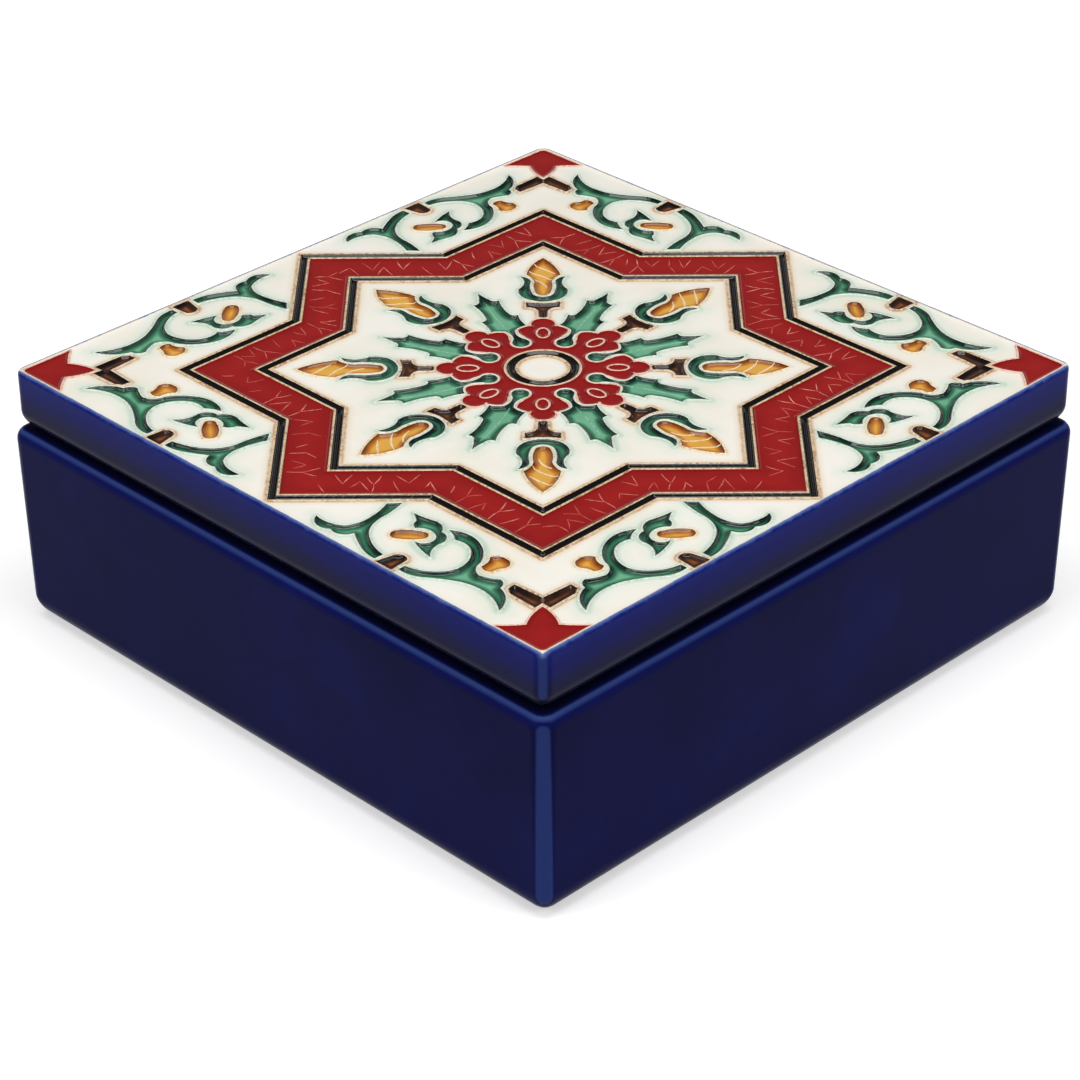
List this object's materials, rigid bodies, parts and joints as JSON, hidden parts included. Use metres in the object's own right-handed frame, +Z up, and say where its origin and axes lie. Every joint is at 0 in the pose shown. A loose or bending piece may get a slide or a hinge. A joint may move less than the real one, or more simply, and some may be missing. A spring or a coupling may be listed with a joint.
{
  "type": "lidded ceramic box",
  "caption": "Square glazed box with a lift-off lid whose top is a moulded star tile in red, green, amber and cream glaze.",
  "frame": {"origin": "middle of the base, on the plane that its foot ring stands on", "axes": "+Z up, X and Y square to the sides, +X towards one side wall"},
  "size_m": [0.1544, 0.1544, 0.0584],
  "materials": {
    "base_box": "glossy cobalt blue glaze, bare clay on the foot",
    "lid_body": "glossy cobalt blue glaze",
    "field_cream": "glossy cream glaze",
    "tile_ridges": "thin pale glaze over moulded clay ridges",
    "star_band_red": "glossy deep red glaze",
    "star_line_outer": "glossy dark brown glaze",
    "star_line_inner": "glossy dark brown glaze",
    "rosette_red": "glossy deep red glaze",
    "eye_ring_dark": "glossy dark brown glaze",
    "leaves_green": "glossy green glaze, pale where it pools",
    "cups_green": "glossy green glaze, pale where it pools",
    "buds_amber": "glossy amber glaze",
    "stems_brown": "glossy dark brown glaze",
    "long_scrolls_green": "glossy green glaze, pale where it pools",
    "short_scrolls_green": "glossy green glaze, pale where it pools",
    "sprigs_green": "glossy green glaze, pale where it pools",
    "inner_seeds_amber": "glossy amber glaze",
    "outer_seeds_amber": "glossy amber glaze",
    "clasps_brown": "glossy dark brown glaze",
    "chevrons_brown": "glossy dark brown glaze",
    "corner_darts_red": "glossy deep red glaze"
  },
  "bodies": {
    "base": {"base_box": "base_box"},
    "lid": {"lid_body": "lid_body", "field_cream": "field_cream", "tile_ridges": "tile_ridges", "star_band_red": "star_band_red", "star_line_outer": "star_line_outer", "star_line_inner": "star_line_inner", "rosette_red": "rosette_red", "eye_ring_dark": "eye_ring_dark", "leaves_green": "leaves_green", "cups_green": "cups_green", "buds_amber": "buds_amber", "stems_brown": "stems_brown", "long_scrolls_green": "long_scrolls_green", "short_scrolls_green": "short_scrolls_green", "sprigs_green": "sprigs_green", "inner_seeds_amber": "inner_seeds_amber", "outer_seeds_amber": "outer_seeds_amber", "clasps_brown": "clasps_brown", "chevrons_brown": "chevrons_brown", "corner_darts_red": "corner_darts_red"}
  },
  "joints": [
    {"name": "lid_lift", "type": "slide", "parent": "base", "child": "lid", "axis": [0, 0, 1], "range_m": [0, 0.06]}
  ]
}
